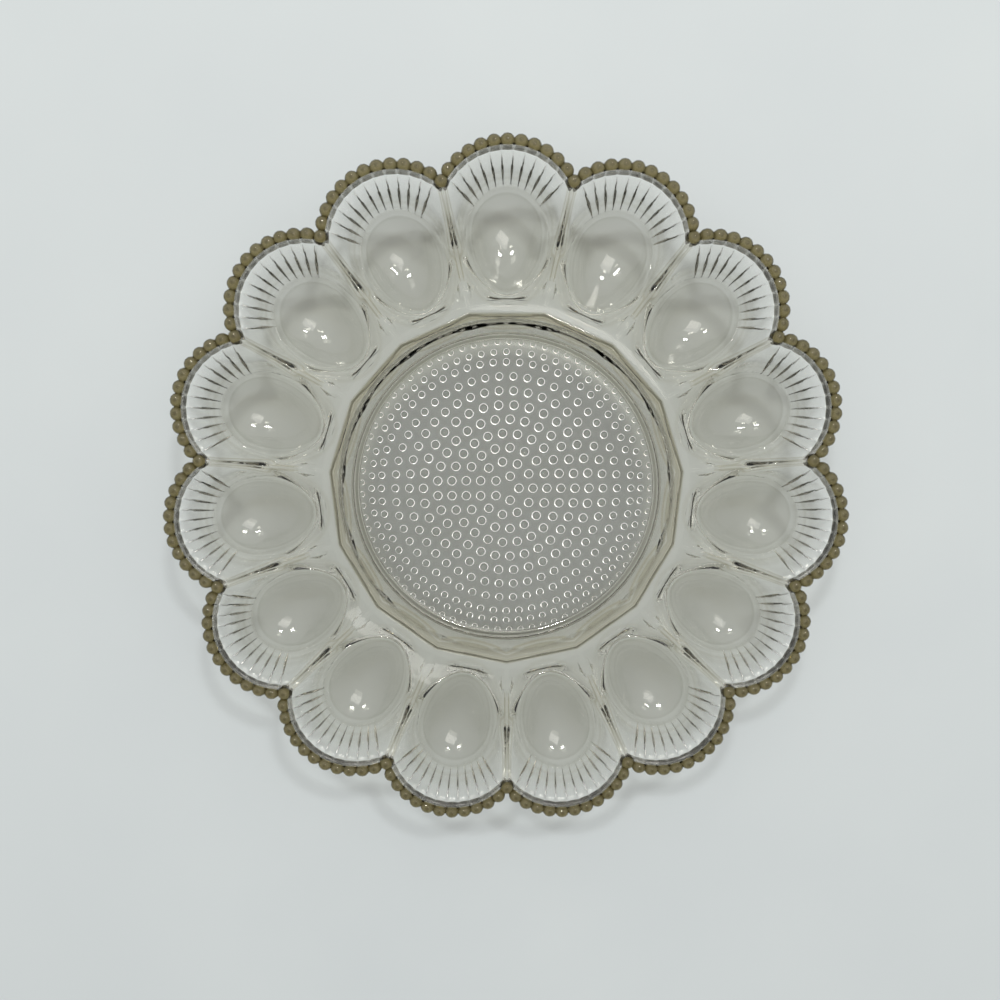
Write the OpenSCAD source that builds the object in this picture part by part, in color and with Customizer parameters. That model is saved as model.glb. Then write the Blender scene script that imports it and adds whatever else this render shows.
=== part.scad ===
// Deviled egg platter pressed from clear glass: fifteen egg cups round a knobbed centre dish.
// It is a single pressing, so its zones meet face to face and nothing on it moves.
// The origin is on the table in the middle of the foot ring. +Z is up and +Y points at the first cup.

/* [Platter] */
// Diameter over the rim beads at the petal tips
platter_d = 284; // [276:1:292]
// Height from the table to the top of the rim beads
platter_h = 32; // [30:0.5:35]
// Thickness of the glass in the cups and the petals
glass_t = 3; // [2.6:0.1:3.4]

/* [Petals and rim beads] */
// Radius of a petal's scallop, over its beads
petal_r = 32.7; // [31:0.1:34]
// Diameter of a rim bead
bead_d = 6; // [5.6:0.1:6.4]
// Distance from the bead centres in to the edge of the petal wall that they sit on
bead_seat = 1.5; // [1:0.1:2]
// Height of the petal wall's edge above the bead centres
petal_edge_up = 0.6; // [0:0.1:1]
// Width of the level ledge between the bowl of a petal and its edge
petal_ledge = 1.2; // [0.6:0.1:1.8]
// Slope of the petal's bowl where it leaves the well, from level
petal_slope = 41; // [38:1:45]
// Depth of the grooves between two flutes on the outside of a petal
flute_depth = 1.1; // [0.6:0.1:1.5]
// Width of the grooves between two flutes
flute_groove_w = 2.4; // [1.6:0.1:3]

/* [Egg wells] */
// Width of the egg well at its lip
well_w = 33.5; // [31:0.5:36]
// Length of the well from its widest place to its blunt outer end
well_outer_l = 18.3; // [17.5:0.1:20]
// Length of the well from its widest place to its narrow inner end
well_inner_l = 25.7; // [24:0.1:26]
// Depth of the well below its lip
well_depth = 10; // [9:0.1:11]
// Height of the well's lip above the table
lip_z = 17; // [16:0.1:18]
// Thickness of the web that joins the cups between and inside the wells
web_t = 3.5; // [3:0.1:4]

/* [Centre dish] */
// Radius of the centre dish at the top of its wall
dish_mouth_r = 70; // [68:0.5:71]
// Radius at which the line of the dish wall would meet the floor
dish_corner_r = 66.2; // [65:0.1:67]
// Radius of the hollow between the floor and the wall
dish_fillet_r = 6; // [4:0.5:7]
// Height of the underside of the dish floor above the table
floor_z = 4; // [3:0.1:4.5]
// Thickness of the dish floor
floor_t = 3; // [2.5:0.1:3.5]
// Height of the collar's crest above the table
crest_z = 19.5; // [18.5:0.1:21]
// Distance from the centre to the inner edge of the crest, at the middle of a side
crest_flat_r = 72; // [71.6:0.1:72.6]
// Width of the level crest of the collar
crest_w = 0.6; // [0.4:0.1:1]
// Slope of the collar's inner bevel, from level
inner_bevel = 38; // [30:1:45]
// Slope of the collar's outer face, from upright
outer_lean = 26; // [10:1:35]
// Radius at which the dish zone ends and the egg cups begin
dish_zone_r = 78; // [77:0.5:79]

/* [Knobs under the floor] */
// Diameter of the knobs in the middle of the floor
knob_d = 4.3; // [3.5:0.1:4.6]
// How far a middle knob stands out of the floor
knob_h = 1.2; // [0.8:0.1:1.5]
// Step from one ring of knobs to the next
ring_step = 6.2; // [6:0.1:6.5]
// Step between the last rings, which crowd up to the foot
edge_ring_step = 4.3; // [4:0.1:4.6]

/* [Foot ring] */
// Outer radius of the foot ring
foot_r = 70.5; // [69.5:0.1:71]
// Width of the foot ring
foot_w = 4; // [3.5:0.1:4.4]
// Radius of the foot ring's rounded lower edges
foot_round = 1.2; // [0.8:0.1:1.5]

/* [Hidden] */
cup_count = 15;
bead_steps = 12;
even_rings = 9;
edge_rings = 2;
big_knob_rings = 6;
knob_shrink = 0.33;
knob_gap_shrink = 0.3;
middle_knob_step = 6.7;
first_ring_in = 0.6;
// How far inside the dish's rounded corner the top of the floor zone ends
level_floor_in = 1;
// Degrees of the bowl between the lip and the start of a groove, and from the edge on to its end
groove_above_lip = 2;
groove_past_edge = 6;
// Level ends of the ridges, by the well and by the notch
ridge_pad = 2;
glass = [0.84, 0.87, 0.84, 0.75];
bead_tint = [0.45, 0.41, 0.24];
$fn = 96;

sector = 360 / cup_count;
half_sector = sector / 2;
far = platter_d;
bead_r = bead_d / 2;
bead_path_r = petal_r - bead_r;
bead_z = platter_h - bead_r;
petal_edge_r = bead_path_r - bead_seat;
petal_edge_z = bead_z + petal_edge_up;
cup_r = platter_d / 2 - petal_r;
notch_angle = asin(cup_r * sin(half_sector) / bead_path_r) + half_sector;
bead_step = 2 * notch_angle / bead_steps;
notch_r = cup_r * cos(half_sector) + sqrt(pow(petal_edge_r, 2) - pow(cup_r * sin(half_sector), 2));

flare_r = well_w / 2;
bowl_edge_r = petal_edge_r - petal_ledge;
flare_rise = atan2(petal_edge_z - lip_z, bowl_edge_r - flare_r);
flare_chord = norm([bowl_edge_r - flare_r, petal_edge_z - lip_z]);
bowl_arc_r = flare_chord / (2 * sin(flare_rise - petal_slope));
bowl_arc_x = flare_r - bowl_arc_r * sin(petal_slope);
bowl_arc_z = lip_z + bowl_arc_r * cos(petal_slope);

belly_r = arc_through(well_w / 2);
well_axis_z = lip_z + belly_r - well_depth;
well_x = cup_r + flare_r - well_outer_l;
web_rise_r = well_x - well_inner_l - ridge_pad;
ridge_top_r = notch_r - ridge_pad;
web_low_z = lip_z - web_t;
floor_top = floor_z + floor_t;
wall_slope = atan2(crest_z - floor_top, dish_mouth_r - dish_corner_r);
fillet_run = dish_fillet_r * tan(wall_slope / 2);
level_floor_r = dish_corner_r - fillet_run - level_floor_in;

function arc_through(half_chord) = (pow(half_chord, 2) + pow(well_depth, 2)) / (2 * well_depth);
function two_digits(n) = n < 10 ? str("0", n) : str(n);
function cup_name(i) = str("egg_cup_", two_digits(i + 1));
function beads_name(i) = str("rim_beads_", two_digits(i + 1));
function cup_angle(i) = 90 - i * sector;

// Half of the egg form's profile: an arc that closes on the long axis
module egg_end_profile(end_l, grow) {
    arc_r = arc_through(end_l);
    intersection() {
        translate([belly_r - arc_r, 0]) circle(arc_r + grow);
        square([belly_r + grow + 1, end_l * 2]);
    }
}

// Egg form on its side, blunt end outwards, grown by the thickness of the glass or by nothing
module egg(grow) {
    translate([well_x, 0, well_axis_z])
        rotate([0, 90, 0])
            rotate(180)
                rotate_extrude() {
                    egg_end_profile(well_outer_l, grow);
                    mirror([0, 1]) egg_end_profile(well_inner_l, grow);
                }
}

// Round bowl that the petal is a part of
module petal_bowl(grow) {
    translate([cup_r, 0, bowl_arc_z])
        rotate_extrude()
            intersection() {
                translate([bowl_arc_x, 0]) circle(bowl_arc_r + grow);
                translate([0, -far]) square([far, far]);
            }
}

// Plan of one sector of the platter, with its middle on +X
module sector_plan() {
    polygon([
        [0, 0],
        far * [cos(half_sector), -sin(half_sector)],
        far * [cos(half_sector), sin(half_sector)]
    ]);
}

// Plan of one egg cup: the sector out to the notches, then the round of the petal
module cup_plan() {
    difference() {
        intersection() {
            sector_plan();
            union() {
                translate([cup_r, 0]) circle(petal_edge_r);
                translate([0, -far / 2]) square([cup_r, far]);
            }
        }
        circle(dish_zone_r);
    }
}

// Everything from low_z up to the height of the ridges, which climb from the dish to the rim
module under_ridges(inner_low_z, outer_low_z) {
    rotate_extrude()
        polygon([
            [dish_zone_r - 1, inner_low_z],
            [web_rise_r, inner_low_z],
            [ridge_top_r, outer_low_z],
            [far, outer_low_z],
            [far, petal_edge_z],
            [ridge_top_r, petal_edge_z],
            [web_rise_r, lip_z],
            [dish_zone_r - 1, lip_z]
        ]);
}

// Grooves between the flutes, each along a line of longitude of the petal bowl
module flute_grooves() {
    outer_r = bowl_arc_r + glass_t;
    from = asin((flare_r + glass_t - bowl_arc_x) / outer_r) + groove_above_lip;
    to = asin((petal_edge_r - bowl_arc_x) / outer_r) + groove_past_edge;
    translate([cup_r, 0, bowl_arc_z])
        for (k = [0 : bead_steps - 1])
            rotate((k + 0.5) * bead_step - notch_angle)
                translate([bowl_arc_x, 0, 0])
                    rotate([90, 0, 0])
                        rotate_extrude(start = from - 90, angle = to - from)
                        polygon([
                            [outer_r - flute_depth, 0],
                            [outer_r + flute_depth, flute_groove_w],
                            [outer_r + flute_depth, -flute_groove_w]
                        ]);
}

module egg_cup(i) {
    color(glass)
        rotate(cup_angle(i))
            difference() {
                intersection() {
                    linear_extrude(far) cup_plan();
                    union() {
                        under_ridges(web_low_z, petal_edge_z - web_t);
                        intersection() {
                            under_ridges(0, 0);
                            union() {
                                egg(glass_t);
                                petal_bowl(glass_t);
                            }
                        }
                    }
                }
                egg(0);
                petal_bowl(0);
                flute_grooves();
            }
}

module rim_beads(i) {
    color(bead_tint)
        rotate(cup_angle(i))
            difference() {
                intersection() {
                    linear_extrude(far) sector_plan();
                    for (k = [0 : bead_steps])
                        translate([cup_r, 0, bead_z])
                            rotate(k * bead_step - notch_angle)
                                translate([bead_path_r, 0]) rotate([0, 90, 0]) sphere(bead_r);
                }
                translate([cup_r, 0]) cylinder(r = petal_edge_r, h = far);
            }
}

// Hollow of the centre dish: level floor, rounded corner and steep wall
module dish_hollow() {
    rotate_extrude() {
        polygon([
            [0, floor_top],
            [dish_corner_r - fillet_run, floor_top],
            [dish_corner_r + fillet_run * cos(wall_slope), floor_top + fillet_run * sin(wall_slope)],
            [dish_mouth_r, crest_z],
            [dish_mouth_r, crest_z + 1],
            [0, crest_z + 1]
        ]);
        translate([dish_corner_r - fillet_run, floor_top + dish_fillet_r]) circle(dish_fillet_r);
    }
}

// One block per side of the collar, leaned about an edge of the crest, and what they share
module shared_by_sides(edge_r, lean, low, high) {
    intersection_for (k = [0 : cup_count - 1])
        rotate(cup_angle(k))
            translate([edge_r, 0, crest_z])
                rotate([0, -lean, 0])
                    translate([-far, -far / 2, low]) cube([far, far, high - low]);
}

// Many-sided bevel that opens the wall's top out to the crest of the collar
module bevel_hollow() {
    low_z = crest_z - (crest_flat_r / cos(half_sector) - dish_corner_r) * tan(inner_bevel);
    intersection() {
        translate([0, 0, low_z]) cylinder(r = dish_zone_r, h = crest_z);
        shared_by_sides(crest_flat_r, inner_bevel, 0, far);
    }
}

module collar_block() {
    intersection() {
        translate([0, 0, web_low_z]) cylinder(r = dish_zone_r, h = crest_z - web_low_z);
        shared_by_sides(crest_flat_r + crest_w, outer_lean, -far, far);
    }
}

// The whole centre dish without its knobs and foot
module dish_shell() {
    difference() {
        union() {
            rotate_extrude()
                polygon([
                    [0, floor_z],
                    [foot_r, floor_z],
                    [foot_r + (web_low_z - floor_z) / tan(wall_slope), web_low_z],
                    [dish_zone_r, web_low_z],
                    [dish_zone_r, lip_z],
                    [0, lip_z]
                ]);
            collar_block();
        }
        dish_hollow();
        bevel_hollow();
    }
}

function ring_knob_d(k) = knob_d - knob_shrink * max(0, k - big_knob_rings);
function ring_knob_step(k) = middle_knob_step - knob_gap_shrink * max(0, k - big_knob_rings);
function ring_r(k) = ring_step * min(k, even_rings) + edge_ring_step * max(0, k - even_rings) - first_ring_in;
function ring_count(k) = round(2 * PI * ring_r(k) / ring_knob_step(k));
function ball_r(d, h) = (d * d / 4 + h * h) / (2 * h);

// Domes in rings under the floor, smaller and closer towards the foot
module knobs() {
    intersection() {
        cylinder(r = foot_r, h = floor_z + floor_t / 3);
        union() {
            for (k = [1 : even_rings + edge_rings]) {
                d = ring_knob_d(k);
                h = knob_h * d / knob_d;
                for (j = [0 : ring_count(k) - 1])
                    rotate(360 * j / ring_count(k))
                        translate([ring_r(k), 0, floor_z - h + ball_r(d, h)]) sphere(ball_r(d, h));
            }
        }
    }
}

// Zone of the floor: all within the foot up to half its thickness, and its level part above that
module floor_zone() {
    cylinder(r = foot_r - foot_w, h = floor_z + floor_t / 2);
    cylinder(r = level_floor_r, h = crest_z);
}

module knobbed_floor() {
    color(glass) {
        intersection() {
            dish_shell();
            floor_zone();
        }
        knobs();
    }
}

module collar() {
    color(glass)
        difference() {
            dish_shell();
            floor_zone();
        }
}

module foot_ring() {
    color(glass)
        rotate_extrude() {
            translate([foot_r - foot_w, foot_round]) square([foot_w, floor_z - foot_round]);
            translate([foot_r - foot_w + foot_round, 0]) square([foot_w - 2 * foot_round, foot_round]);
            translate([foot_r - foot_w + foot_round, foot_round]) circle(foot_round);
            translate([foot_r - foot_round, foot_round]) circle(foot_round);
        }
}

knobbed_floor();
collar();
foot_ring();
for (i = [0 : cup_count - 1]) {
    egg_cup(i);
    rim_beads(i);
}
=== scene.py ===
# Deviled egg platter pressed from clear glass, with a tinted rim of beads.
# Lengths are in millimetres until a mesh is made, and the frame is in metres.
# One sector of a fifteenth is worked out with its cup on +X, and is then turned about +Z.
import math

import bmesh
import bpy
import numpy as np
from mathutils import Euler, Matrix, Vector
from mathutils.geometry import delaunay_2d_cdt


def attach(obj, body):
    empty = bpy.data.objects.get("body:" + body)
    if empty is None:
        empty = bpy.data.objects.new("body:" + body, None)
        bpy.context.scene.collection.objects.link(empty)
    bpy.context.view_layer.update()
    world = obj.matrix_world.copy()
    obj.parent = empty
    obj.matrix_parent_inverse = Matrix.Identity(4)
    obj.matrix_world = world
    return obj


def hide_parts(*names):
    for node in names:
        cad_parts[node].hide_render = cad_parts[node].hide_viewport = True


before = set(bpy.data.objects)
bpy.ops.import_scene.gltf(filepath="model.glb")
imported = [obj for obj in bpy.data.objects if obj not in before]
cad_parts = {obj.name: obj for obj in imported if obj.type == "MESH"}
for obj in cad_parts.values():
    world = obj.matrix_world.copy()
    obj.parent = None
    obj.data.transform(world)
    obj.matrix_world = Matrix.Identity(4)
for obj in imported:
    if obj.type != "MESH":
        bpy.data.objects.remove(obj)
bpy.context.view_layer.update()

MM = 0.001
CUPS = 15
FLUTES = 12

# Platter, petals and beads
PLATTER_D = 284.0
PLATTER_H = 32.0
GLASS_T = 3.0
PETAL_R = 32.7
BEAD_D = 6.0
BEAD_SEAT = 1.5
PETAL_EDGE_UP = 0.6
PETAL_LEDGE = 1.2
PETAL_SLOPE = math.radians(41)

# Grooves between the flutes: how far inside the well's outer face they start, how they deepen and then
# lessen towards the rim, the turns from the petal's tip over which they end, how round and how sharp
# they are, and how much deeper they are cut in the petal's edge
FLUTE_DEPTH = 1.2
FLUTE_START_IN = 3.4
FLUTE_FADE = 3.0
FLUTE_FULL_RUN = 6.0
FLUTE_RIM_LOSS = 0.25
FLUTE_END_TURNS = (1.35, 1.1)
FLUTE_ROUND_SHARE = 0.35
FLUTE_SHARPNESS = 7
FLUTE_AT_EDGE = 1.3

# How much wider a bead is along its row, and the seat of the larger bead in each notch
BEAD_WIDTH = 1.04
BEAD_NOTCH_SEAT = 2.2

# Egg wells
WELL_W = 33.5
WELL_OUTER_L = 18.3
WELL_INNER_L = 25.7
WELL_DEPTH = 10.0
LIP_Z = 17.0
WEB_T = 3.5
RIDGE_PAD = 2.0

# Centre dish and collar
DISH_MOUTH_R = 70.0
DISH_CORNER_R = 66.2
DISH_FILLET_R = 6.0
FLOOR_Z = 4.0
FLOOR_T = 3.0
CREST_Z = 19.5
CREST_FLAT_R = 72.0
CREST_W = 0.6
INNER_BEVEL = math.radians(38)
OUTER_LEAN = math.radians(26)
DISH_ZONE_R = 78.0

# Knobs under the floor, in rings that crowd up to the foot
KNOB_D = 4.3
KNOB_H = 1.2
KNOB_SHRINK = 0.33
KNOB_STEP = 6.7
KNOB_STEP_SHRINK = 0.3
RING_STEP = 6.2
EDGE_RING_STEP = 4.3
FIRST_RING_IN = 0.6
EVEN_RINGS = 9
EDGE_RINGS = 2
BIG_KNOB_RINGS = 6

# Foot ring
FOOT_R = 70.5
FOOT_W = 4.0
FOOT_ROUND = 1.2

# Height of the petal's edge wall, how much the glass thins towards it, and the raised line of the well's lip
EDGE_T = 2.8
RIM_THIN = 1.6
LIP_RISE = 0.4

# The pointed hollow under the web between each well and the collar
EYE_R = 80.3
EYE_HALF_W = 7.5
EYE_HALF_T = 1.6
EYE_BULGE = 1.6
EYE_DEPTH = 1.0

# The small oval hollow under the web between two wells
PAD_R = 86.5
PAD_HALF_L = 4.5
PAD_HALF_W = 3.0
PAD_DEPTH = 1.2

# Share of a hollow's half width at which it has its full depth, and the least share left at its points
HOLLOW_FULL = 0.7
LEAST_SHARE = 0.001

# How much lower the web's underside is between two wells, and where that begins and ends
WEB_FILL = 3.5
FILL_FROM_R = (78.5, 88.0)
FILL_TO_R = (104.0, 114.0)

# How soft the pressed edges are
RIDGE_SOFT = 0.9
LIP_SOFT = 0.8
UNDER_SOFT = 6.5
EDGE_SOFT = 1.0
EDGE_ROUND = 0.2
CORNER_SOFT = math.radians(0.35)

# Steps that round the creases of the collar, the dish wall and the foot, outward and then up
CREASE = 0.25
CREST_OUT_STEP = 0.12
CREST_TOP_STEP = 0.15
COLLAR_FOOT_STEP = 0.5
BEVEL_FOOT_STEPS = ((0.35, 0.3), (-0.08, -0.4))
WEB_FOOT_STEPS = ((1.2, 0.0), (0.35, -0.3), (-0.2, -1.2))
FOOT_WALL_STEPS = ((0.4, 1.2), (0.0, -0.4))

# Rings of a cup's grid: millimetres inside and outside the well's lip and before the outline,
# and in the well the shares of a quarter turn
INSIDE_LIP = (0.45, 1.3)
OUTSIDE_LIP = (0.4, 1.1)
BEFORE_EDGE = (1.75, 1.2, 0.65, 0.2)
LIP_BEFORE_EDGE = 1.6
WELL_TURNS = (0.9, 0.76, 0.6, 0.42, 0.22)
PLAIN_STEPS = 5
HALVINGS = 40

# Points of the outline: shares of half a flute, and how many stand on the plane where two sectors meet
FLUTE_SHARES = (0, 0.5, 0.86, 1)
PLANE_POINTS = 21

# Columns of half a sector of the dish, steps of its rounded corner and of the foot, and rings of its floor
DISH_COLUMNS = 6
FILLET_STEPS = 6
FOOT_STEPS = 4
FLOOR_RINGS_R = (46.0, 24.0)

# A knob's sides, and its rings as shares of its radius
KNOB_SIDES = 10
KNOB_LEVELS = (1.0, 0.86, 0.5)

# A bead's faces round and up, and the creases that stay sharp
BEAD_SIDES = 12
BEAD_LEVELS = 8
GLASS_CREASE = math.radians(32)
BEAD_CREASE = math.radians(50)

# Points this near to each other are one
GLASS_TOUCH = 0.004
BEAD_TOUCH = 0.002
FLAT_TOUCH = 1e-5

# The floor between the knobs is filled in triangles out to its convex outline
FILL_TO_HULL = 0

SECTOR = math.tau / CUPS
HALF_SECTOR = SECTOR / 2
BEAD_R = BEAD_D / 2
BEAD_PATH_R = PETAL_R - BEAD_R
BEAD_Z = PLATTER_H - BEAD_R
PETAL_EDGE_R = BEAD_PATH_R - BEAD_SEAT
PETAL_EDGE_Z = BEAD_Z + PETAL_EDGE_UP
CUP_R = PLATTER_D / 2 - PETAL_R
NOTCH_ANGLE = math.asin(CUP_R * math.sin(HALF_SECTOR) / BEAD_PATH_R) + HALF_SECTOR
FLUTE = 2 * NOTCH_ANGLE / FLUTES
AXIS_TO_PLANE = CUP_R * math.sin(HALF_SECTOR)
NOTCH_R = CUP_R * math.cos(HALF_SECTOR) + math.sqrt(PETAL_EDGE_R**2 - AXIS_TO_PLANE**2)
BEAD_NOTCH_R = CUP_R * math.cos(HALF_SECTOR) + math.sqrt(BEAD_PATH_R**2 - AXIS_TO_PLANE**2)
EDGE_NOTCH_ANGLE = math.asin(AXIS_TO_PLANE / PETAL_EDGE_R) + HALF_SECTOR

FLARE_R = WELL_W / 2
FLUTE_START_R = FLARE_R + GLASS_T - FLUTE_START_IN
BOWL_EDGE_R = PETAL_EDGE_R - PETAL_LEDGE
FLARE_RISE = math.atan2(PETAL_EDGE_Z - LIP_Z, BOWL_EDGE_R - FLARE_R)
FLARE_CHORD = math.hypot(PETAL_EDGE_Z - LIP_Z, BOWL_EDGE_R - FLARE_R)
FLARE_ARC_R = FLARE_CHORD / (2 * math.sin(FLARE_RISE - PETAL_SLOPE))
FLARE_ARC_X = FLARE_R - FLARE_ARC_R * math.sin(PETAL_SLOPE)
FLARE_ARC_Z = LIP_Z + FLARE_ARC_R * math.cos(PETAL_SLOPE)


def arc_through(half_chord):
    """Radius of the arc that is as deep as the well and this wide at its lip."""
    return (half_chord**2 + WELL_DEPTH**2) / (2 * WELL_DEPTH)


BELLY_R = arc_through(WELL_W / 2)
WELL_AXIS_Z = LIP_Z + BELLY_R - WELL_DEPTH
WELL_X = CUP_R + FLARE_R - WELL_OUTER_L
WEB_RISE_R = WELL_X - WELL_INNER_L - RIDGE_PAD
RIDGE_TOP_R = NOTCH_R - RIDGE_PAD
WEB_LOW_Z = LIP_Z - WEB_T
FLOOR_TOP = FLOOR_Z + FLOOR_T
WALL_RUN = DISH_MOUTH_R - DISH_CORNER_R
WALL_SLOPE = math.atan2(CREST_Z - FLOOR_TOP, WALL_RUN)
OUT_OF_REACH = 500.0


# Height functions of one sector

def soft_low(a, b, soft):
    """The lower of two heights, with the crease between them rounded."""
    share = np.clip(0.5 + 0.5 * (b - a) / soft, 0, 1)
    return b * (1 - share) + a * share - soft * share * (1 - share)


def ramp(value, start, end):
    """A smooth step from 0 at the start to 1 at the end."""
    t = np.clip((value - start) / (end - start), 0, 1)
    return t * t * (3 - 2 * t)


def turned(x, y, angle):
    """A place turned about the platter's axis."""
    c, s = math.cos(angle), math.sin(angle)
    return x * c - y * s, x * s + y * c


def ridge_height(x, y):
    """Top of the ridge between two cups, which climbs from the web to the petals' edge."""
    r = np.hypot(x, y)
    return np.interp(r, [WEB_RISE_R, RIDGE_TOP_R], [LIP_Z, PETAL_EDGE_Z])


def egg_height(x, y, grow):
    """Lower surface of the egg form that lies on its side in the well."""
    along = x - WELL_X
    arc = np.where(along > 0, arc_through(WELL_OUTER_L), arc_through(WELL_INNER_L))
    reach = (arc + grow) ** 2 - along**2
    girth = BELLY_R - arc + np.sqrt(np.maximum(reach, 0))
    inside = np.where((reach > 0) & (girth > 0), girth**2 - y**2, -1)
    low = WELL_AXIS_Z - np.sqrt(np.maximum(inside, 0))
    return np.where(inside > 0, low, OUT_OF_REACH)


def flute_dent(x, y):
    """Depth of the grooves between the flutes on the outside of a petal."""
    turn = np.arctan2(y, x - CUP_R)
    across = np.abs(2 * (turn / FLUTE - np.round(turn / FLUTE)))
    r = np.hypot(x - CUP_R, y)
    fade = ramp(r, FLUTE_START_R, FLUTE_START_R + FLUTE_FADE) * ramp(np.abs(turn), *FLUTE_END_TURNS)
    fade = fade * (1 - FLUTE_RIM_LOSS * ramp(r, FLUTE_START_R + FLUTE_FULL_RUN, PETAL_EDGE_R))
    groove = FLUTE_ROUND_SHARE * across**2 + (1 - FLUTE_ROUND_SHARE) * across**FLUTE_SHARPNESS
    return FLUTE_DEPTH * fade * groove


def bowl_height(x, y, grow):
    """Lower surface of the round bowl that flares out from the well to the petal."""
    inside = (FLARE_ARC_R + grow) ** 2 - (np.hypot(x - CUP_R, y) - FLARE_ARC_X) ** 2
    return np.where(inside > 0, FLARE_ARC_Z - np.sqrt(np.maximum(inside, 0)), OUT_OF_REACH)


def petal_glass(x, y):
    """Thickness of the petal's glass, which thins towards the rim and is drawn in between the flutes."""
    thinned = RIM_THIN * ramp(np.hypot(x - CUP_R, y), FLARE_R + GLASS_T, PETAL_EDGE_R)
    return GLASS_T - thinned - flute_dent(x, y)


def neighbours(x, y):
    """The same place as the two cups beside this one see it."""
    for side in (1, -1):
        yield turned(x, y, SECTOR * side)


def eye_dent(x, y):
    """Depth of the pointed hollow that bulges towards the dish."""
    across = y / EYE_HALF_W
    swell = 1 - across**2
    middle = EYE_R - EYE_BULGE * swell
    half = EYE_HALF_T * np.maximum(swell, LEAST_SHARE)
    off = np.abs(np.hypot(x, y) - middle - EYE_BULGE / 2) / half
    return EYE_DEPTH * ramp(off, 1, HOLLOW_FULL) * (np.abs(across) < 1)


def pad_dent(x, y):
    """Depth of the hollow between two wells, on the plane where their sectors meet."""
    along = x * math.cos(HALF_SECTOR) + np.abs(y) * math.sin(HALF_SECTOR) - PAD_R
    across = x * math.sin(HALF_SECTOR) - np.abs(y) * math.cos(HALF_SECTOR)
    return PAD_DEPTH * ramp(np.hypot(along / PAD_HALF_L, across / PAD_HALF_W), 1, HOLLOW_FULL)


def top_height(x, y):
    """Upper side of the glass: the ridges and web, lowered by the bowls and by the well."""
    z = soft_low(ridge_height(x, y), bowl_height(x, y, 0), RIDGE_SOFT)
    for nx, ny in neighbours(x, y):
        z = soft_low(z, bowl_height(nx, ny, 0), RIDGE_SOFT)
    return soft_low(z, egg_height(x, y, 0), LIP_SOFT)


def under_height(x, y):
    """Underside of the glass, which follows the upper side and has the grooves and hollows."""
    r = np.hypot(x, y)
    z = ridge_height(x, y) - WEB_T - WEB_FILL * ramp(r, *FILL_FROM_R) * ramp(r, *FILL_TO_R[::-1])
    z = soft_low(z, bowl_height(x, y, petal_glass(x, y)), UNDER_SOFT)
    for nx, ny in neighbours(x, y):
        z = soft_low(z, bowl_height(nx, ny, petal_glass(nx, ny)), UNDER_SOFT)
    z = soft_low(z, PETAL_EDGE_Z - EDGE_T + FLUTE_AT_EDGE * flute_dent(x, y), EDGE_SOFT)
    eggs = egg_height(x, y, GLASS_T)
    for nx, ny in neighbours(x, y):
        eggs = soft_low(eggs, egg_height(nx, ny, GLASS_T), UNDER_SOFT)
    return soft_low(z, eggs, UNDER_SOFT) + eye_dent(x, y) + pad_dent(x, y)


# The grid of one cup, in rays from the cup's axis

def column_turns():
    """Turns of the dish's columns in half a sector, the last two close together at the collar's corner."""
    return np.append(np.linspace(0, HALF_SECTOR - CORNER_SOFT, DISH_COLUMNS), HALF_SECTOR)


def half_outline():
    """Outline of half a sector, from the petal's tip by the notch to the middle of the inner end."""
    turns = [FLUTE * s / 2 for s in FLUTE_SHARES]
    for k in range(1, FLUTES // 2):
        turns += [FLUTE * (k - s / 2) for s in FLUTE_SHARES[-2::-1]]
        turns += [FLUTE * (k + s / 2) for s in FLUTE_SHARES[1:]]
    turns += [NOTCH_ANGLE - FLUTE * s / 2 for s in FLUTE_SHARES[-2::-1]]
    turns.append(EDGE_NOTCH_ANGLE)
    wall = [(CUP_R + PETAL_EDGE_R * math.cos(t), PETAL_EDGE_R * math.sin(t)) for t in turns]
    plane_r = np.linspace(NOTCH_R, DISH_ZONE_R, PLANE_POINTS)[1:]
    plane = [(r * math.cos(HALF_SECTOR), r * math.sin(HALF_SECTOR)) for r in plane_r]
    inner_turns = column_turns()[-2::-1]
    inner = [(DISH_ZONE_R * math.cos(t), DISH_ZONE_R * math.sin(t)) for t in inner_turns]
    return wall, plane + inner


def sector_outline():
    """Closed outline of a sector, and for each point whether the petal's wall stands there."""
    wall, rest = half_outline()
    half = wall + rest
    other = [(x, -y) for x, y in half[-2:0:-1]]
    walled = [True] * len(wall) + [False] * (2 * len(rest) - 1) + [True] * (len(wall) - 1)
    return np.array(half + other), walled


def lip_distances(rays, reach, grow):
    """How far out along each ray the egg form ends."""
    low, high = np.zeros(len(rays)), reach.copy()
    for _ in range(HALVINGS):
        mid = (low + high) / 2
        x, y = CUP_R + rays[:, 0] * mid, rays[:, 1] * mid
        over = np.minimum(ridge_height(x, y) - (WEB_T if grow else 0), bowl_height(x, y, grow))
        beyond = egg_height(x, y, grow) > over
        high = np.where(beyond, mid, high)
        low = np.where(beyond, low, mid)
    return low


def ring_distances(lip, reach):
    """Distances of the rings along the rays: coarse ones in the well, then fine ones out to the outline."""
    coarse = [(lip - INSIDE_LIP[1]) * math.sin(t * math.pi / 2) for t in WELL_TURNS[::-1]]
    fine = [lip - d for d in INSIDE_LIP[::-1]] + [lip] + [lip + d for d in OUTSIDE_LIP]
    a, b = lip + OUTSIDE_LIP[-1], reach - BEFORE_EDGE[0]
    fine += [a + (b - a) * k / (PLAIN_STEPS + 1) for k in range(1, PLAIN_STEPS + 1)]
    fine += [reach - d for d in BEFORE_EDGE]
    return coarse, fine


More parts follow.
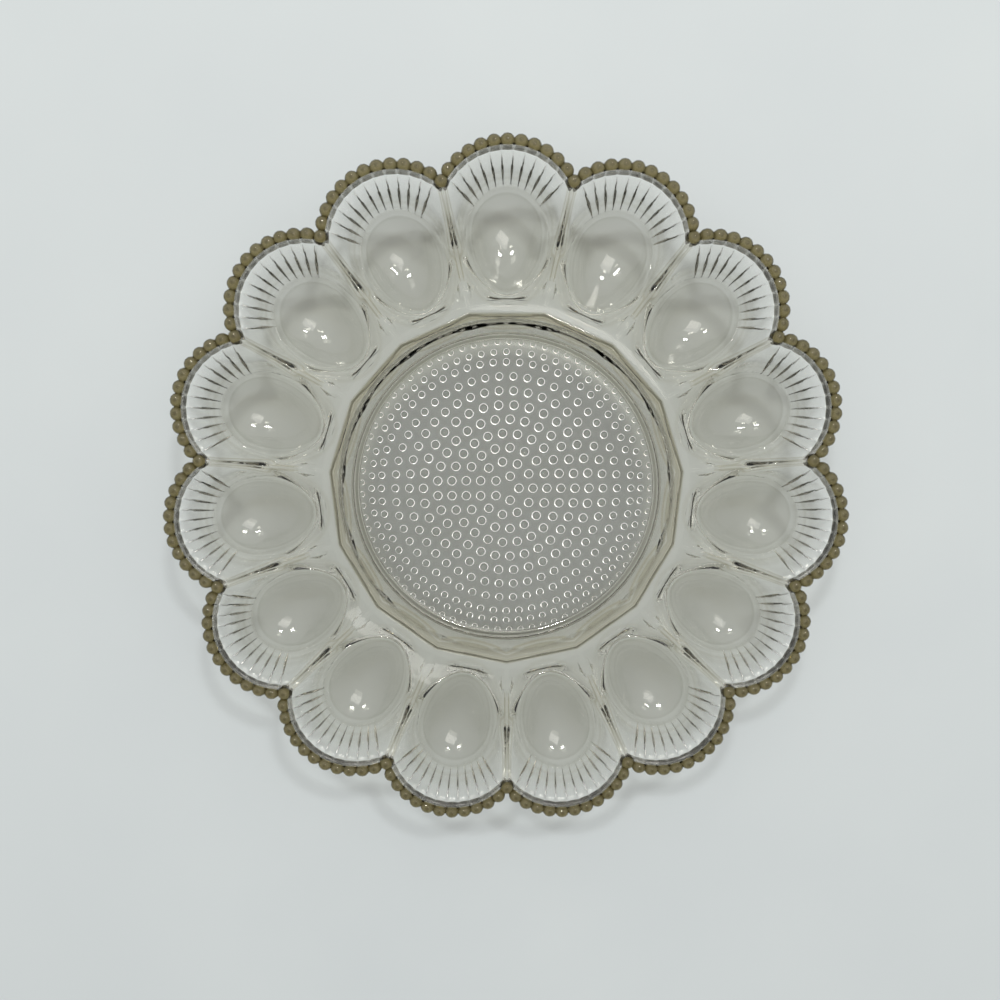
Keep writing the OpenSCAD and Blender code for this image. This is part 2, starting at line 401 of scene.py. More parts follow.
class Skin:
    """Points and faces that are gathered before a mesh is made of them."""

    def __init__(self):
        self.points = []
        self.faces = []

    def ring(self, x, y, z):
        """Adds points, and gives their numbers."""
        start = len(self.points)
        self.points += [tuple(p) for p in np.column_stack([x, y, z])]
        return list(range(start, len(self.points)))

    def strip(self, a, b):
        """Joins two closed rings of as many points."""
        count = len(a)
        for i in range(count):
            j = (i + 1) % count
            self.faces.append((a[i], a[j], b[j], b[i]))

    def fan(self, middle, ring):
        """Closes a ring to one point."""
        count = len(ring)
        self.faces += [(middle, ring[i], ring[(i + 1) % count]) for i in range(count)]

    def widen(self, coarse, fine):
        """Joins a ring to the next one out, which has twice as many points."""
        count = len(coarse)
        for i in range(count):
            j = (i + 1) % count
            a, b, c = fine[2 * i], fine[2 * i + 1], fine[(2 * i + 2) % len(fine)]
            self.faces += [(coarse[i], a, b), (coarse[i], b, coarse[j]), (coarse[j], b, c)]


def cup_side(skin, outline, edge_z, height, grow):
    """One side of a cup's glass, up or under, from its middle to the outline."""
    spokes = outline - np.array([CUP_R, 0])
    reach = np.hypot(spokes[:, 0], spokes[:, 1])
    rays = spokes / reach[:, None]
    lip = lip_distances(rays, reach - BEFORE_EDGE[0] - LIP_BEFORE_EDGE, grow)
    coarse, fine = ring_distances(lip, reach)
    middle = skin.ring([CUP_R], [0.0], height(np.array([CUP_R]), np.array([0.0])))[0]
    previous = None
    for d in coarse:
        x, y = (CUP_R + rays[:, 0] * d)[::2], (rays[:, 1] * d)[::2]
        ring = skin.ring(x, y, height(x, y))
        if previous is None:
            skin.fan(middle, ring)
        else:
            skin.strip(previous, ring)
        previous = ring
    for k, d in enumerate(fine):
        x, y = CUP_R + rays[:, 0] * d, rays[:, 1] * d
        rise = LIP_RISE if k == len(INSIDE_LIP) and not grow else 0
        ring = skin.ring(x, y, height(x, y) + rise)
        if k == 0:
            skin.widen(previous, ring)
        else:
            skin.strip(previous, ring)
        previous = ring
    edge = skin.ring(outline[:, 0], outline[:, 1], edge_z)
    skin.strip(previous, edge)
    return edge


def cup_skin():
    """Both sides of one cup and the wall of its petal, open where the next cups and the dish join on."""
    skin = Skin()
    outline, walled = sector_outline()
    x, y = outline[:, 0], outline[:, 1]
    round_off = np.where(walled, EDGE_ROUND, 0)
    top = cup_side(skin, outline, top_height(x, y) - round_off, top_height, 0)
    under = cup_side(skin, outline, under_height(x, y), under_height, GLASS_T)
    count = len(outline)
    for i in range(count):
        j = (i + 1) % count
        if walled[i] and walled[j]:
            skin.faces.append((top[i], top[j], under[j], under[i]))
    return skin


# The centre dish, in columns that meet the points of the cups' inner ends

def off_side(turns):
    """Turn from the middle of the collar's nearest side."""
    return (turns - math.pi / 2 + HALF_SECTOR) % SECTOR - HALF_SECTOR


def bevel_foot(stretch):
    """Where the collar's inner bevel meets the dish wall."""
    slope = math.tan(INNER_BEVEL)
    lean = WALL_RUN / (CREST_Z - FLOOR_TOP)
    over = CREST_Z - slope * (CREST_FLAT_R - (DISH_CORNER_R - FLOOR_TOP * lean) / stretch)
    z = over / (1 - slope * lean / stretch)
    return DISH_CORNER_R + (z - FLOOR_TOP) * lean, z


def dish_top_rings(turns):
    """Radius and height of each ring of the dish's upper side, from the cups in to the middle."""
    # How much further out a corner of the collar is than the middle of its side
    stretch = 1 / np.cos(off_side(turns))
    one = np.ones_like(turns)
    lean = (CREST_Z - LIP_Z) * math.tan(OUTER_LEAN)
    crest_out = CREST_FLAT_R + CREST_W
    rings = [
        ((crest_out + lean + COLLAR_FOOT_STEP) * stretch, LIP_Z * one),
        ((crest_out + lean) * stretch, (LIP_Z + CREASE) * one),
        ((crest_out + CREST_OUT_STEP) * stretch, (CREST_Z - CREASE) * one),
        ((crest_out - CREST_TOP_STEP) * stretch, CREST_Z * one),
        ((CREST_FLAT_R + CREST_TOP_STEP) * stretch, CREST_Z * one),
        ((CREST_FLAT_R - CREASE) * stretch, (CREST_Z - CREASE) * one),
    ]
    foot_r, foot_z = bevel_foot(stretch)
    rings += [(foot_r + out, foot_z + up) for out, up in BEVEL_FOOT_STEPS]
    run = DISH_FILLET_R * math.tan(WALL_SLOPE / 2)
    for k in range(FILLET_STEPS + 1):
        t = WALL_SLOPE * (1 - k / FILLET_STEPS)
        r = DISH_CORNER_R - run + DISH_FILLET_R * math.sin(t)
        rings.append((r * one, (FLOOR_TOP + DISH_FILLET_R * (1 - math.cos(t))) * one))
    rings += [(r * one, FLOOR_TOP * one) for r in FLOOR_RINGS_R]
    return rings


def foot_profile():
    """Outline of the underside from the cups' inner ends down round the foot and up to the floor."""
    wall_r = FOOT_R + (WEB_LOW_Z - FLOOR_Z) / math.tan(WALL_SLOPE)
    inner_r = FOOT_R - FOOT_W
    quarter = [math.pi / 2 * k / FOOT_STEPS for k in range(FOOT_STEPS + 1)]
    profile = [(wall_r + out, WEB_LOW_Z + up) for out, up in WEB_FOOT_STEPS]
    profile += [(FOOT_R + out, FLOOR_Z + up) for out, up in FOOT_WALL_STEPS]
    profile += [(FOOT_R - FOOT_ROUND * (1 - math.cos(t)), FOOT_ROUND * (1 - math.sin(t))) for t in quarter]
    profile += [(inner_r + FOOT_ROUND * (1 - math.sin(t)), FOOT_ROUND * (1 - math.cos(t))) for t in quarter]
    return profile + [(inner_r, FLOOR_Z)]


def knob_rings():
    """Radius, count, diameter and height of each ring of knobs."""
    for k in range(1, EVEN_RINGS + EDGE_RINGS + 1):
        small = max(0, k - BIG_KNOB_RINGS)
        r = RING_STEP * min(k, EVEN_RINGS) + EDGE_RING_STEP * max(0, k - EVEN_RINGS) - FIRST_RING_IN
        d = KNOB_D - KNOB_SHRINK * small
        count = round(math.tau * r / (KNOB_STEP - KNOB_STEP_SHRINK * small))
        yield r, count, d, KNOB_H * d / KNOB_D


def add_knob(skin, x, y, d, h):
    """A dome that hangs from the floor, and the ring of points where it leaves the floor."""
    ball = (d * d / 4 + h * h) / (2 * h)
    turns = np.arange(KNOB_SIDES) * math.tau / KNOB_SIDES + math.atan2(y, x)
    base = previous = None
    for level in KNOB_LEVELS:
        r = d / 2 * level
        z = FLOOR_Z - h + ball - math.sqrt(ball**2 - r**2)
        ring = skin.ring(x + r * np.cos(turns), y + r * np.sin(turns), np.full(KNOB_SIDES, z))
        if previous:
            skin.strip(previous, ring)
        else:
            base = ring
        previous = ring
    skin.fan(skin.ring([x], [y], [FLOOR_Z - h])[0], previous)
    return base


def knobbed_floor(skin, rim):
    """Underside of the floor inside the foot: flat glass between the knobs, and the knobs."""
    loops = [rim]
    for r, count, d, h in knob_rings():
        for j in range(count):
            t = math.tau * j / count
            loops.append(add_knob(skin, r * math.cos(t), r * math.sin(t), d, h))
    flat, owner, edges = [], [], []
    for k, loop in enumerate(loops):
        start = len(flat)
        flat += loop
        owner += [k] * len(loop)
        edges += [(start + i, start + (i + 1) % len(loop)) for i in range(len(loop))]
    spots = [Vector(skin.points[i][:2]) for i in flat]
    _, _, faces, origins, _, _ = delaunay_2d_cdt(spots, edges, [], FILL_TO_HULL, FLAT_TOUCH, True)
    for face in faces:
        corners = [origins[v][0] for v in face]
        owners = {owner[c] for c in corners}
        # A face with all its corners on one knob lies inside that knob, and loop 0 is the rim
        if len(owners) > 1 or owners == {0}:
            skin.faces.append(tuple(flat[c] for c in corners))


def dish_skin():
    """The dish, its collar and the foot, from the cups' inner ends above to the same ends below."""
    skin = Skin()
    half = column_turns()
    from_cup = np.append(half, SECTOR - half[-2:0:-1])
    turns = np.concatenate([math.pi / 2 + from_cup + k * SECTOR for k in range(CUPS)])
    across, along = np.cos(turns), np.sin(turns)
    off = off_side(turns)
    join_x, join_y = DISH_ZONE_R * np.cos(off), DISH_ZONE_R * np.sin(off)

    def rings_inward(first_z, rings):
        """Rings from the cups' inner ends inward, each joined to the one before."""
        previous = skin.ring(across * DISH_ZONE_R, along * DISH_ZONE_R, first_z)
        for r, z in rings:
            following = skin.ring(across * r, along * r, z + np.zeros_like(turns))
            skin.strip(previous, following)
            previous = following
        return previous

    middle_ring = rings_inward(top_height(join_x, join_y), dish_top_rings(turns))
    skin.fan(skin.ring([0.0], [0.0], [FLOOR_TOP])[0], middle_ring)
    knobbed_floor(skin, rings_inward(under_height(join_x, join_y), foot_profile()))
    return skin


# Meshes

def put_in_scene(name, data):
    """An object for a mesh, a lamp or a camera."""
    body = bpy.data.objects.new(name, data)
    bpy.context.scene.collection.objects.link(body)
    return body


def glass_pressing():
    """The whole pressing as one closed mesh, so that light passes through it as through one piece."""
    cup, dish = cup_skin(), dish_skin()
    x, y, z = np.array(cup.points).T
    points, faces = [np.array(dish.points)], list(dish.faces)
    start = len(dish.points)
    for k in range(CUPS):
        points.append(np.column_stack([*turned(x, y, math.pi / 2 - k * SECTOR), z]))
        faces += [tuple(i + start for i in face) for face in cup.faces]
        start += len(cup.points)
    mesh = bpy.data.meshes.new("glass_pressing")
    mesh.from_pydata((np.vstack(points) * MM).tolist(), [], faces)
    whole = bmesh.new()
    whole.from_mesh(mesh)
    bmesh.ops.remove_doubles(whole, verts=whole.verts, dist=GLASS_TOUCH * MM)
    bmesh.ops.recalc_face_normals(whole, faces=whole.faces)
    open_edges = sum(len(edge.link_faces) != 2 for edge in whole.edges)
    print("glass pressing:", len(whole.faces), "faces,", open_edges, "open edges")
    whole.to_mesh(mesh)
    whole.free()
    mesh.shade_smooth()
    mesh.set_sharp_from_angle(angle=GLASS_CREASE)
    return put_in_scene("glass_pressing", mesh)


# Nodes, and the beads that they make

class Graph:
    """The nodes of a material, a lamp, the world or a Geometry Nodes tree."""

    def __init__(self, tree):
        self.nodes = tree.nodes
        self.links = tree.links

    def put(self, target, value):
        """Links a socket to another one, or gives it a fixed value."""
        if isinstance(value, bpy.types.NodeSocket):
            self.links.new(value, target)
        else:
            target.default_value = value

    def add(self, kind, inputs=None, **settings):
        """A new node with these settings, and with these inputs by name or number."""
        node = self.nodes.new(kind)
        for name, value in settings.items():
            setattr(node, name, value)
        for name, value in (inputs or {}).items():
            self.put(node.inputs[name], value)
        return node

    def maths(self, operation, *values):
        """One sum on sockets or numbers."""
        return self.add("ShaderNodeMath", dict(enumerate(values)), operation=operation).outputs[0]

    def spread(self, value, start, end, low, high):
        """A value carried from one range to another, and held at its ends."""
        ends = {"From Min": start, "From Max": end, "To Min": low, "To Max": high}
        return self.add("ShaderNodeMapRange", {"Value": value, **ends}).outputs[0]

    def place(self):
        """The place in the piece's own space."""
        return self.add("ShaderNodeTexCoord").outputs["Object"]

    def noise(self, scale, detail):
        """Soft noise in the piece's own space, with its scale per metre."""
        inputs = {"Vector": self.place(), "Scale": scale, "Detail": detail}
        return self.add("ShaderNodeTexNoise", inputs).outputs["Fac"]


BEAD_TREE_INPUTS = {
    "Bead diameter": BEAD_D * MM,
    "Seat": BEAD_SEAT * MM,
    "Path radius": BEAD_PATH_R * MM,
    "Bead height": BEAD_Z * MM,
    "Cup radius": CUP_R * MM,
    "Step": FLUTE,
    "Sector": SECTOR,
}


def bead_tree(material):
    """Rows of beads on every petal: a bead cut flat at its seat, turned about the cup and about the dish."""
    tree = bpy.data.node_groups.new("bead_rows", "GeometryNodeTree")
    tree.interface.new_socket("Geometry", in_out="OUTPUT", socket_type="NodeSocketGeometry")
    for name in BEAD_TREE_INPUTS:
        tree.interface.new_socket(name, in_out="INPUT", socket_type="NodeSocketFloat")
    graph = Graph(tree)
    given = graph.add("NodeGroupInput").outputs
    radius = graph.maths("MULTIPLY", given["Bead diameter"], 0.5)
    size = {"Segments": BEAD_SIDES, "Rings": BEAD_LEVELS, "Radius": radius}
    ball = graph.add("GeometryNodeMeshUVSphere", size).outputs["Mesh"]

    def vector(x, y, z):
        """Three numbers or sockets as one place or turn."""
        return graph.add("ShaderNodeCombineXYZ", {0: x, 1: y, 2: z}).outputs[0]

    def moved(shape, x, z):
        """A shape moved out along +X and up."""
        inputs = {"Geometry": shape, "Translation": vector(x, 0.0, z)}
        return graph.add("GeometryNodeTransform", inputs).outputs[0]

    def turned_copies(shape, count, step, first):
        """Copies of a shape, turned about +Z in equal steps."""
        points = graph.add("GeometryNodePoints", {"Count": count}).outputs[0]
        number = graph.add("GeometryNodeInputIndex").outputs[0]
        turn = graph.maths("ADD", graph.maths("MULTIPLY", number, step), first)
        inputs = {"Points": points, "Instance": shape, "Rotation": vector(0.0, 0.0, turn)}
        return graph.add("GeometryNodeInstanceOnPoints", inputs).outputs[0]

    def seated(seat, width):
        """A bead widened along its row and cut flat where it meets the petal."""
        place = graph.add("GeometryNodeInputPosition").outputs[0]
        split = graph.add("ShaderNodeSeparateXYZ", {0: place}).outputs
        x = graph.maths("MAXIMUM", split[0], graph.maths("MULTIPLY", seat, -1.0))
        y = graph.maths("MULTIPLY", split[1], width)
        inputs = {"Geometry": ball, "Position": vector(x, y, split[2])}
        return graph.add("GeometryNodeSetPosition", inputs).outputs[0]

    bead = moved(seated(given["Seat"], BEAD_WIDTH), given["Path radius"], given["Bead height"])
    first = graph.maths("MULTIPLY", given["Step"], 1.0 - FLUTES / 2)
    row = moved(turned_copies(bead, FLUTES - 1, given["Step"], first), given["Cup radius"], 0.0)
    notch_bead = moved(seated(BEAD_NOTCH_SEAT * MM, 1.0), BEAD_NOTCH_R * MM, given["Bead height"])
    rows = turned_copies(row, CUPS, given["Sector"], math.pi / 2)
    corners = turned_copies(notch_bead, CUPS, given["Sector"], math.pi / 2 + HALF_SECTOR)
    both = graph.add("GeometryNodeJoinGeometry")
    graph.put(both.inputs[0], rows)
    graph.put(both.inputs[0], corners)
    real = graph.add("GeometryNodeRealizeInstances", {0: both.outputs[0]}).outputs[0]
    dressed = graph.add("GeometryNodeSetMaterial", {"Geometry": real, "Material": material})
    graph.add("NodeGroupOutput", {"Geometry": dressed.outputs[0]})
    return tree


def rim_beads(material):
    """All beads as one plain mesh, made by the tree above."""
    holder = put_in_scene("bead_rows", bpy.data.meshes.new("bead_rows"))
    live = holder.modifiers.new("bead_rows", "NODES")
    live.node_group = bead_tree(material)
    for socket in live.node_group.interface.items_tree:
        if socket.in_out == "INPUT":
            live[socket.identifier] = BEAD_TREE_INPUTS[socket.name]
    seen = holder.evaluated_get(bpy.context.evaluated_depsgraph_get())
    mesh = bpy.data.meshes.new_from_object(seen)
    mesh.name = "rim_beads"
    bpy.data.objects.remove(holder)
    merged = bmesh.new()
    merged.from_mesh(mesh)
    bmesh.ops.remove_doubles(merged, verts=merged.verts, dist=BEAD_TOUCH * MM)
    for face in merged.faces:
        face.material_index = 0
    merged.to_mesh(mesh)
    merged.free()
    mesh.materials.clear()
    mesh.materials.append(material)
    mesh.shade_smooth()
    mesh.set_sharp_from_angle(angle=BEAD_CREASE)
    return put_in_scene("rim_beads", mesh)


# Finishes

GLASS_IOR = 1.5
CLEAR = (1, 1, 1)

# Each kind of glass: its two tints, its least and most haze, its ripple and the tint of its depth.
# A noise has its scale per metre and its detail, and a ripple its scale, strength and depth in metres.
CLEAR_GLASS = {
    "tints": ((0.965, 0.965, 0.945), (0.995, 0.995, 0.985)),
    "tint_noise": (22, 3),
    "haze": (0.01, 0.04),
    "haze_noise": (60, 4),
    "ripple": (70, 0.3, 0.0006),
    "depth_tint": (0.72, 0.67, 0.5),
    "density": 26,
}
BEAD_GLASS = {
    "tints": ((0.86, 0.83, 0.70), (0.98, 0.96, 0.88)),
    "tint_noise": (160, 4),
    "haze": (0.01, 0.05),
    "haze_noise": (400, 3),
    "ripple": (500, 0.2, 0.0002),
    "depth_tint": (0.55, 0.49, 0.28),
    "density": 420,
}
RIPPLE_DETAIL = 2

# The petal's ledge is hazier, from this far inside the bowl's edge
LEDGE_HAZE = 0.18
LEDGE_HAZE_RUN = 0.6

# Lamp light that the knobbed floor, the cups and the beads let through, and from where to where the
# floor's share gives way to the cups'
PAST_FLOOR = (0.42, 0.39, 0.33)
PAST_CUPS = (0.97, 0.97, 0.95)
PAST_BEADS = (0.6, 0.54, 0.38)
FLOOR_SHADE_R = (DISH_CORNER_R - 5, DISH_CORNER_R + 1)

# The well's painted shade by distance from its middle, as a share of its half length or half width: darker
# inside, and painted shade lines along its lip and in two rings outside it
WELL_PAINTED_SHADE = (
    (0.0, (0.88, 0.875, 0.86)),
    (0.9, (0.85, 0.845, 0.825)),
    (0.955, (0.74, 0.735, 0.70)),
    (0.99, CLEAR),
    (1.07, CLEAR),
    (1.11, (0.88, 0.875, 0.85)),
    (1.15, CLEAR),
    (1.21, (0.93, 0.925, 0.9)),
    (1.27, CLEAR),
)
# The collar's painted shade lines by distance in millimetres from the axis to its straight side: dark olive
# lines at the crest's edges and at its foot, with a clearer line between
COLLAR_PAINTED_LINES = (
    (CREST_FLAT_R - 0.6, CLEAR),
    (CREST_FLAT_R - 0.2, (0.7, 0.63, 0.46)),
    (CREST_FLAT_R + 0.3, (1, 0.99, 0.95)),
    (CREST_FLAT_R + CREST_W, (0.6, 0.55, 0.42)),
    (CREST_FLAT_R + CREST_W + 0.9, (0.66, 0.62, 0.5)),
    (CREST_FLAT_R + CREST_W + 2.2, CLEAR),
)
# The ridge's painted shade, a double dark line by distance in millimetres from the plane where two cups
# meet, and where the painted lines begin
RIDGE_PAINTED_LINES = (
    (0.0, (0.92, 0.9, 0.84)),
    (0.35, CLEAR),
    (0.8, (0.66, 0.62, 0.5)),
    (1.35, CLEAR),
)
RIDGE_PAINTED_LINES_FROM_R = 90.0
# A bead's painted shade in its middle and at its rim, with a painted light ring between, by distance from
# its middle as a share of its radius
BEAD_PAINTED_LIGHT = (
    (0.0, (0.46, 0.42, 0.30)),
    (0.12, (0.46, 0.42, 0.30)),
    (0.4, (0.95, 0.93, 0.82)),
    (0.6, (0.80, 0.77, 0.62)),
    (0.92, (0.16, 0.14, 0.09)),
)


def new_material(name):
    """A material with its graph, its shader and its output."""
    material = bpy.data.materials.new(name)
    material.use_nodes = True
    graph = Graph(material.node_tree)
    return material, graph, graph.nodes["Principled BSDF"], graph.nodes["Material Output"]


def colour_between(graph, factor, dark, light, low=0.3, high=0.7):
    """A colour that blends from dark to light as the factor grows from low to high."""
    blend = graph.add("ShaderNodeValToRGB", {0: factor})
    elements = blend.color_ramp.elements
    elements[0].position = low
    elements[0].color = (*dark, 1)
    elements[1].position = high
    elements[1].color = (*light, 1)
    return blend.outputs[0]


def bands(graph, value, stops):
    """Colours along a value, each blended into the next."""
    first, last = stops[0][0], stops[-1][0]
    blend = graph.add("ShaderNodeValToRGB", {0: graph.spread(value, first, last, 0, 1)})
    elements = blend.color_ramp.elements
    elements[0].color = (*stops[0][1], 1)
    elements[1].color = (*stops[-1][1], 1)
    for at, colour in stops[1:-1]:
        elements.new((at - first) / (last - first)).color = (*colour, 1)
    return blend.outputs[0]


def tinted_by(graph, tone, tint):
    """One colour multiplied by another."""
    inputs = {"Factor": 1, "A": tone, "B": tint}
    return graph.add("ShaderNodeMix", inputs, data_type="RGBA", blend_type="MULTIPLY").outputs["Result"]


def from_axis(graph):
    """Distance from the platter's upright axis, in metres."""
    flat = graph.add("ShaderNodeVectorMath", {0: graph.place(), 1: (1, 1, 0)}, operation="MULTIPLY")
    return graph.add("ShaderNodeVectorMath", {0: flat.outputs[0]}, operation="LENGTH").outputs["Value"]


def length_of(graph, a, b):
    """Length of the long side of a right triangle."""
    squares = [graph.maths("MULTIPLY", side, side) for side in (a, b)]
    return graph.maths("SQRT", graph.maths("ADD", *squares))


def place_in_cup(graph):
    """How far out and how far across a place is from the upright axis of its cup, in metres."""
    split = graph.add("ShaderNodeSeparateXYZ", {0: graph.place()}).outputs
    turn = graph.maths("ARCTAN2", split[1], split[0])
    off = graph.maths("SUBTRACT", turn, math.pi / 2)
    off = graph.maths("WRAP", off, HALF_SECTOR, -HALF_SECTOR)
    r = from_axis(graph)
    out = graph.maths("MULTIPLY", r, graph.maths("COSINE", off))
    across = graph.maths("MULTIPLY", r, graph.maths("SINE", off))
    return graph.maths("SUBTRACT", out, CUP_R * MM), across


def from_side(graph):
    """Distance in millimetres from the platter's axis along the middle of the cup."""
    out, _ = place_in_cup(graph)
    return graph.maths("ADD", graph.maths("DIVIDE", out, MM), CUP_R)


def from_ridge(graph):
    """Distance in millimetres from the plane where two cups meet, or far off within the ridges' ends."""
    out, across = place_in_cup(graph)
    out = graph.maths("ADD", out, CUP_R * MM)
    off = graph.maths("ABSOLUTE", graph.maths("ARCTAN2", across, out))
    left = graph.maths("SINE", graph.maths("SUBTRACT", HALF_SECTOR, off))
    r = graph.maths("DIVIDE", from_axis(graph), MM)
    inside = graph.maths("LESS_THAN", r, RIDGE_PAINTED_LINES_FROM_R)
    far_off = graph.maths("MULTIPLY", inside, OUT_OF_REACH)
    return graph.maths("ADD", graph.maths("MULTIPLY", r, left), far_off)


def from_well(graph):
    """Distance from the middle of the egg well, as a share of its half length or half width."""
    out, across = place_in_cup(graph)
    along = graph.maths("SUBTRACT", out, (WELL_X - CUP_R) * MM)
    outward = graph.maths("DIVIDE", along, WELL_OUTER_L * MM)
    inward = graph.maths("DIVIDE", along, -WELL_INNER_L * MM)
    along = graph.maths("MAXIMUM", outward, inward)
    return length_of(graph, along, graph.maths("DIVIDE", across, WELL_W / 2 * MM))


def from_bead(graph):
    """Distance in plan from the middle of a bead, as a share of its radius."""
    out, across = place_in_cup(graph)
    turn = graph.maths("ARCTAN2", across, out)
    turn = graph.maths("WRAP", turn, FLUTE / 2, -FLUTE / 2)
    along = graph.maths("MULTIPLY", turn, BEAD_PATH_R / BEAD_R)
    reach = graph.maths("DIVIDE", length_of(graph, out, across), BEAD_R * MM)
    return length_of(graph, along, graph.maths("SUBTRACT", reach, BEAD_PATH_R / BEAD_R))


def ledge_haze(graph):
    """Haze of the level ledge along the outer half of each petal's edge."""
    from_cup = length_of(graph, *place_in_cup(graph))
    ledge = graph.spread(from_cup, (BOWL_EDGE_R - LEDGE_HAZE_RUN) * MM, BOWL_EDGE_R * MM, 0, LEDGE_HAZE)
    outside = graph.maths("GREATER_THAN", from_axis(graph), CUP_R * MM)
    return graph.maths("MULTIPLY", ledge, outside)


def let_light_past(graph, shader, out, passed):
    """Lets lamp light through the glass, so that it stands in a soft shadow and not a black one."""
    rays = graph.add("ShaderNodeLightPath")
    clear = graph.add("ShaderNodeBsdfTransparent", {"Color": passed})
    inputs = {0: rays.outputs["Is Shadow Ray"], 1: shader.outputs["BSDF"], 2: clear.outputs["BSDF"]}
    graph.put(out.inputs["Surface"], graph.add("ShaderNodeMixShader", inputs).outputs[0])


def dress_as_glass(graph, shader, out, look, painted_tones, more_haze=None):
    """Tint, haze, ripple and depth of one kind of glass, with painted light and shade tones over the tint.
    """
    tint = colour_between(graph, graph.noise(*look["tint_noise"]), *look["tints"])
    for tone in painted_tones:
        tint = tinted_by(graph, tint, tone)
    graph.put(shader.inputs["Base Color"], tint)
    graph.put(shader.inputs["Transmission Weight"], 1)
    graph.put(shader.inputs["IOR"], GLASS_IOR)
    haze = graph.spread(graph.noise(*look["haze_noise"]), 0, 1, *look["haze"])
    if more_haze is not None:
        haze = graph.maths("ADD", haze, more_haze)
    graph.put(shader.inputs["Roughness"], haze)
    scale, strength, depth = look["ripple"]
    inputs = {"Strength": strength, "Distance": depth, "Height": graph.noise(scale, RIPPLE_DETAIL)}
    graph.put(shader.inputs["Normal"], graph.add("ShaderNodeBump", inputs).outputs["Normal"])
    inputs = {"Color": (*look["depth_tint"], 1), "Density": look["density"]}
    graph.put(out.inputs["Volume"], graph.add("ShaderNodeVolumeAbsorption", inputs).outputs[0])


def clear_glass():
    """The pressing's glass, with painted shade in its wells and painted shade lines along the wells' lips,
    the collar and the ridges.
    """
    material, graph, shader, out = new_material("clear_glass")
    # Painted shade in the wells, and painted shade lines along the wells' lips, the collar and the ridges
    painted_tones = [
        bands(graph, from_well(graph), WELL_PAINTED_SHADE),
        bands(graph, from_side(graph), COLLAR_PAINTED_LINES),
        bands(graph, from_ridge(graph), RIDGE_PAINTED_LINES),
    ]
    dress_as_glass(graph, shader, out, CLEAR_GLASS, painted_tones, ledge_haze(graph))
    # The knobs scatter the light that passes the floor, and the cups let it through
    edge = graph.spread(from_axis(graph), FLOOR_SHADE_R[0] * MM, FLOOR_SHADE_R[1] * MM, 0, 1)
    let_light_past(graph, shader, out, colour_between(graph, edge, PAST_FLOOR, PAST_CUPS, 0, 1))
    return material


def tinted_beads():
    """The beads' glass, with painted shade at the rim and in the middle of each bead and a painted light
    ring between.
    """
    material, graph, shader, out = new_material("tinted_beads")
    # Painted shade at each bead's middle and rim, and a painted light ring between
    dress_as_glass(graph, shader, out, BEAD_GLASS, [bands(graph, from_bead(graph), BEAD_PAINTED_LIGHT)])
    let_light_past(graph, shader, out, (*PAST_BEADS, 1))
    return material


# Surroundings, in metres and watts

FLOOR_HALF = 4.0
FLOOR_TINTS = ((0.60, 0.635, 0.64), (0.625, 0.66, 0.66))
FLOOR_NOISE = (9, 3)
FLOOR_ROUGHNESS = 0.7

# Name, place, size and power of each lamp
LAMPS = (
    ("window_left", (-0.50, 1.5, 2.0), (0.36, 0.16), 14),
    ("window_right", (0.75, 1.6, 2.0), (0.36, 0.16), 14),
    ("ceiling", (0.5, 0.9, 2.6), (1.3, 0.9), 10),
)
LAMP_COLOUR = (1, 0.98, 0.94)
BEFORE_A_BOUNCE = 0.5

# The room's light at the horizon, and how it grows towards +Y and overhead
ROOM_AT_HORIZON = 0.2
ROOM_BRIGHTER = (0, 0.3, 0.66)
ROOM_COLOUR = (0.97, 0.99, 1.0)
WALL_SEEN = 0.62

# Place, lens and sensor in millimetres, turns in degrees, and the nearest seen distance in metres
CAMERA_PLACE = (-5.70, 28.33, 340.1)
CAMERA_TURN = (-5.7284, -0.4999, 0.0)
CAMERA_LENS = 27.364
CAMERA_SENSOR = 36
CAMERA_NEAR = 0.01


def pale_floor():
    """A plain pale floor under the foot ring."""
    mesh = bpy.data.meshes.new("floor")
    corners = [(x * FLOOR_HALF, y * FLOOR_HALF, 0) for x, y in ((-1, -1), (1, -1), (1, 1), (-1, 1))]
    mesh.from_pydata(corners, [], [(0, 1, 2, 3)])
    material, graph, shader, _ = new_material("pale_paint")
    graph.put(shader.inputs["Base Color"], colour_between(graph, graph.noise(*FLOOR_NOISE), *FLOOR_TINTS))
    graph.put(shader.inputs["Roughness"], FLOOR_ROUGHNESS)
    mesh.materials.append(material)
    return put_in_scene("floor", mesh)


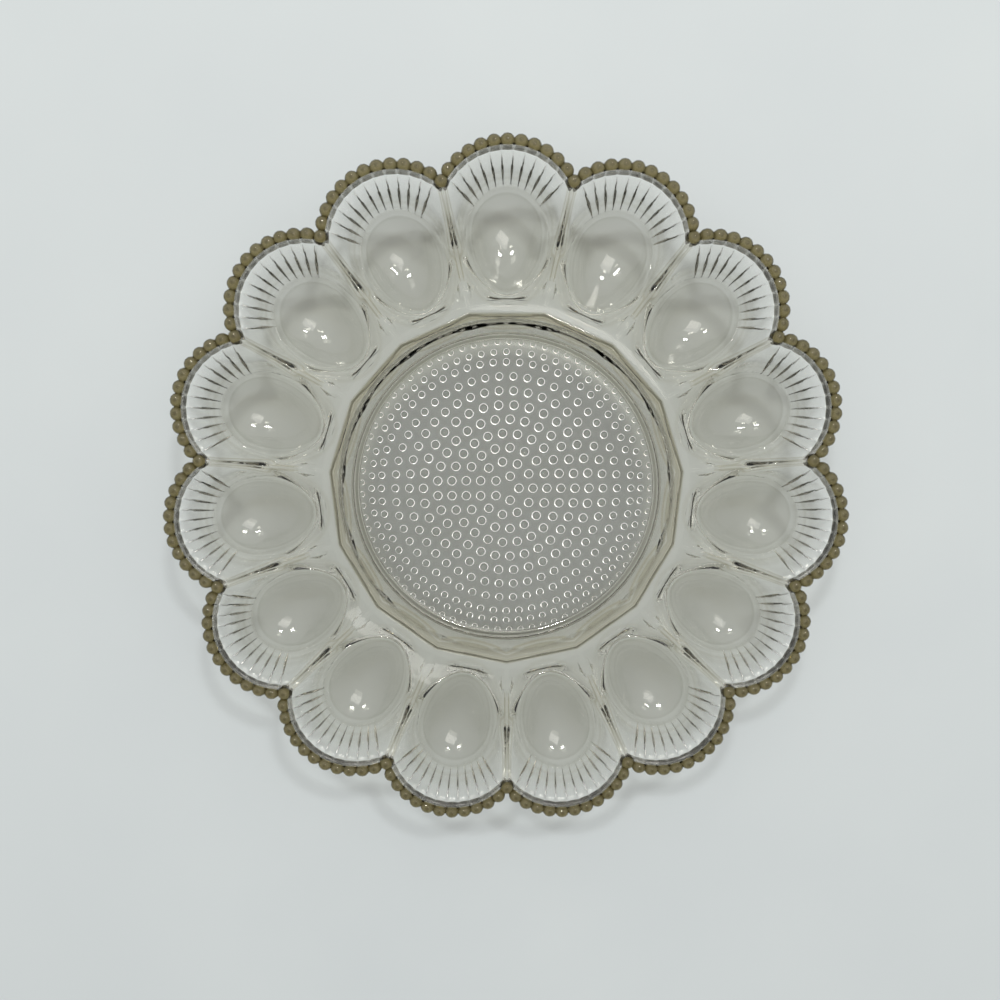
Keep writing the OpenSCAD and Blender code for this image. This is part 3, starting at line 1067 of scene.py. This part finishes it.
def lamp(name, place, size, power):
    """A window's light, which the floor doesn't send on a second time through the glass."""
    light = bpy.data.lights.new(name, "AREA")
    light.shape = "RECTANGLE"
    light.size, light.size_y = size
    light.energy = power
    light.color = LAMP_COLOUR
    light.use_nodes = True
    graph = Graph(light.node_tree)
    bounces = graph.add("ShaderNodeLightPath").outputs["Diffuse Depth"]
    graph.put(graph.nodes["Emission"].inputs["Strength"], graph.maths("LESS_THAN", bounces, BEFORE_A_BOUNCE))
    body = put_in_scene(name, light)
    body.location = place
    body.rotation_euler = (-Vector(place)).to_track_quat("-Z", "Y").to_euler()


def soft_light():
    """The lamps, and a room that is brighter overhead and towards the back."""
    for name, place, size, power in LAMPS:
        lamp(name, place, size, power)
    world = bpy.data.worlds.new("studio")
    bpy.context.scene.world = world
    world.use_nodes = True
    world.cycles.sampling_method = "NONE"
    graph = Graph(world.node_tree)
    direction = graph.add("ShaderNodeTexCoord").outputs["Generated"]
    along = graph.add("ShaderNodeVectorMath", {0: direction, 1: ROOM_BRIGHTER}, operation="DOT_PRODUCT")
    inputs = {0: along.outputs["Value"], 1: ROOM_AT_HORIZON}
    shade = graph.add("ShaderNodeMath", inputs, operation="ADD", use_clamp=True).outputs[0]
    # The camera sees a pale wall past the floor's edge, which sends out no light
    seen = graph.add("ShaderNodeLightPath").outputs["Is Camera Ray"]
    wall = graph.maths("MULTIPLY", seen, WALL_SEEN)
    back = graph.nodes["Background"]
    graph.put(back.inputs["Color"], (*ROOM_COLOUR, 1))
    graph.put(back.inputs["Strength"], graph.maths("MAXIMUM", shade, wall))


def camera():
    """The camera at the photograph's place, nearly straight above the platter."""
    view = bpy.data.cameras.new("camera")
    view.sensor_width = CAMERA_SENSOR
    view.lens = CAMERA_LENS
    view.clip_start = CAMERA_NEAR
    body = put_in_scene("camera", view)
    body.location = Vector(CAMERA_PLACE) * MM
    body.rotation_euler = Euler([math.radians(a) for a in CAMERA_TURN])
    bpy.context.scene.camera = body


def build():
    """The two pieces on their body, and the scene round them."""
    numbers = [f"{i:02d}" for i in range(1, CUPS + 1)]
    pressing = glass_pressing()
    pressing.data.materials.append(clear_glass())
    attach(pressing, "root")
    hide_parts("knobbed_floor", "collar", "foot_ring", *[f"egg_cup_{n}" for n in numbers])
    beads = rim_beads(tinted_beads())
    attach(beads, "root")
    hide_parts(*[f"rim_beads_{n}" for n in numbers])
    pale_floor()
    soft_light()
    camera()
    bpy.context.scene.view_settings.view_transform = "Standard"


build()
